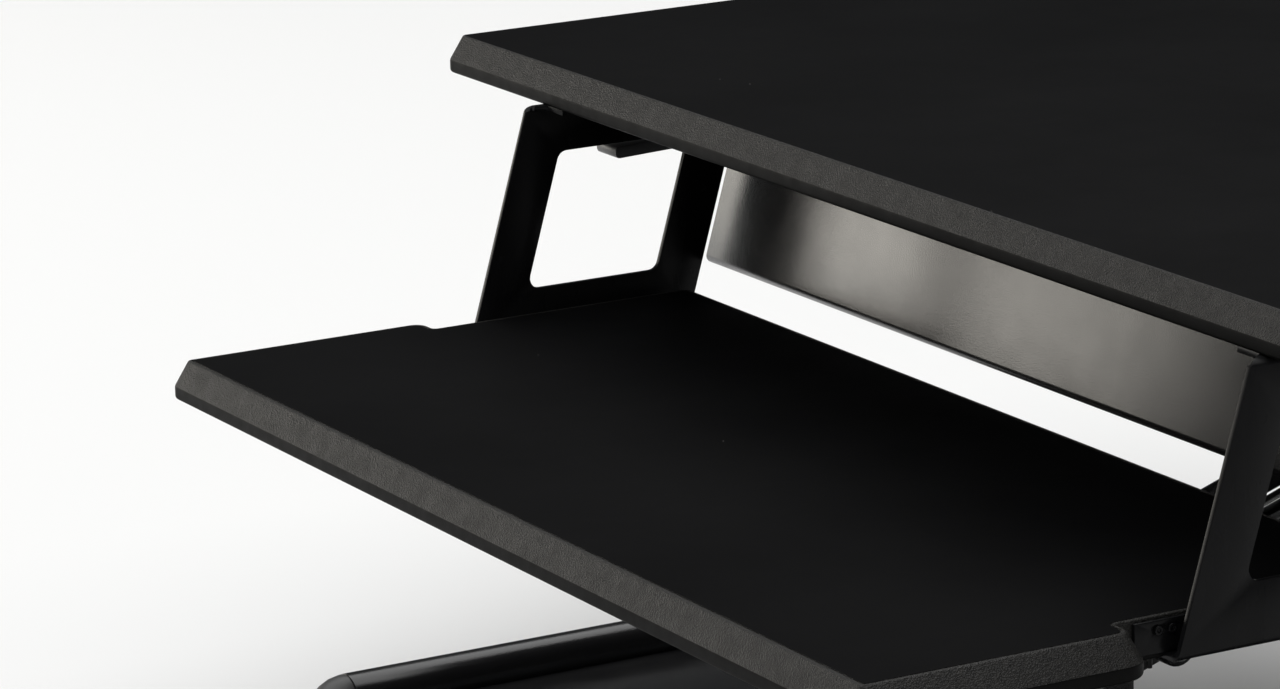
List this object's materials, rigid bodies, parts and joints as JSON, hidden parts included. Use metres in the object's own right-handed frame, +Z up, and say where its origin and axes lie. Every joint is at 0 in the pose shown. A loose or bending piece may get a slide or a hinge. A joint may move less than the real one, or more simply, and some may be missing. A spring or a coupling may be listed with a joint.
{
  "type": "standing desk converter",
  "caption": "Desktop sit-stand riser: a wide monitor platform and a lower keyboard tray joined by windowed side plates, lifted on parallel arms from a flat base.",
  "frame": {"origin": "on the desk surface, below the middle of the footprint of the part at rest", "axes": "+X to the user's right across the width, +Y from the user towards the back, +Z up"},
  "size_m": [0.9, 0.75, 0.3686],
  "materials": {
    "board": "board faced in matte black, with fine-grained textured black sloping edges",
    "coated_steel": "black powder coat, semi-gloss, with a fine orange-peel texture",
    "gloss_steel": "smooth semi-gloss black coat",
    "zinc_steel": "bright zinc-plated steel",
    "spring_steel": "dark oiled spring wire",
    "rubber": "matte black rubber",
    "grey_plastic": "dark grey moulded plastic",
    "bush_plastic": "off-white acetal"
  },
  "bodies": {
    "base": {"base_plate": "coated_steel", "base_post": "coated_steel", "base_shaft_low": "zinc_steel", "base_shaft_high": "zinc_steel", "base_rail_left": "coated_steel", "base_rail_right": "coated_steel", "rail_nose_left": "grey_plastic", "rail_nose_right": "grey_plastic", "foot_pad_front_left": "rubber", "foot_pad_front_right": "rubber", "foot_pad_rear_left": "rubber", "foot_pad_rear_right": "rubber", "torsion_spring_left": "spring_steel", "torsion_spring_right": "spring_steel", "lowering_stop_left": "rubber", "lowering_stop_right": "rubber"},
    "lower_arms": {"lower_arm_left": "coated_steel", "lower_arm_right": "coated_steel", "lower_arm_left_bush_low": "bush_plastic", "lower_arm_left_bush_high": "bush_plastic", "lower_arm_right_bush_low": "bush_plastic", "lower_arm_right_bush_high": "bush_plastic", "lower_arm_tie": "coated_steel", "lock_sector_left": "zinc_steel", "lock_sector_right": "zinc_steel"},
    "upper_arms": {"upper_arm_left": "coated_steel", "upper_arm_right": "coated_steel", "upper_arm_left_bush_low": "bush_plastic", "upper_arm_left_bush_high": "bush_plastic", "upper_arm_right_bush_low": "bush_plastic", "upper_arm_right_bush_high": "bush_plastic", "link_rod_left": "zinc_steel", "link_rod_right": "zinc_steel"},
    "carriage": {"platform_board": "board", "keyboard_tray": "board", "back_panel": "coated_steel", "hanger_plate": "coated_steel", "lift_hanger": "coated_steel", "carriage_shaft_low": "zinc_steel", "carriage_shaft_high": "zinc_steel", "side_plate_left": "gloss_steel", "side_plate_right": "gloss_steel", "edge_cleat_left": "gloss_steel", "edge_cleat_right": "gloss_steel", "cleat_screw_left_1": "gloss_steel", "cleat_screw_left_2": "gloss_steel", "cleat_screw_right_1": "gloss_steel", "cleat_screw_right_2": "gloss_steel", "shaft_bearing_left": "grey_plastic", "shaft_bearing_right": "grey_plastic"},
    "release_bar": {"release_shaft": "zinc_steel", "release_handle_left": "gloss_steel", "release_handle_right": "gloss_steel", "lock_pawl_left": "zinc_steel", "lock_pawl_right": "zinc_steel"}
  },
  "joints": [
    {"name": "lift", "type": "hinge", "parent": "base", "child": "lower_arms", "pos_m": [0, 0.016, 0.1045], "axis": [1, 0, 0], "range_deg": [-31, 20]},
    {"name": "upper_arm_swing", "type": "hinge", "parent": "base", "child": "upper_arms", "pos_m": [0, 0.01, 0.126], "axis": [1, 0, 0], "range_deg": [-31, 20]},
    {"name": "carriage_level", "type": "hinge", "parent": "lower_arms", "child": "carriage", "pos_m": [0, 0.36028, 0.21636], "axis": [1, 0, 0], "range_deg": [-20, 31]},
    {"name": "release_squeeze", "type": "hinge", "parent": "carriage", "child": "release_bar", "pos_m": [0, 0.297, 0.322], "axis": [-1, 0, 0], "range_deg": [0, 2.5], "stiffness_Nm_per_rad": 60, "springref_deg": -2.86}
  ],
  "couplings": [
    {"joint": "upper_arm_swing", "follows": "lift", "ratio": 1},
    {"joint": "carriage_level", "follows": "lift", "ratio": -1}
  ]
}
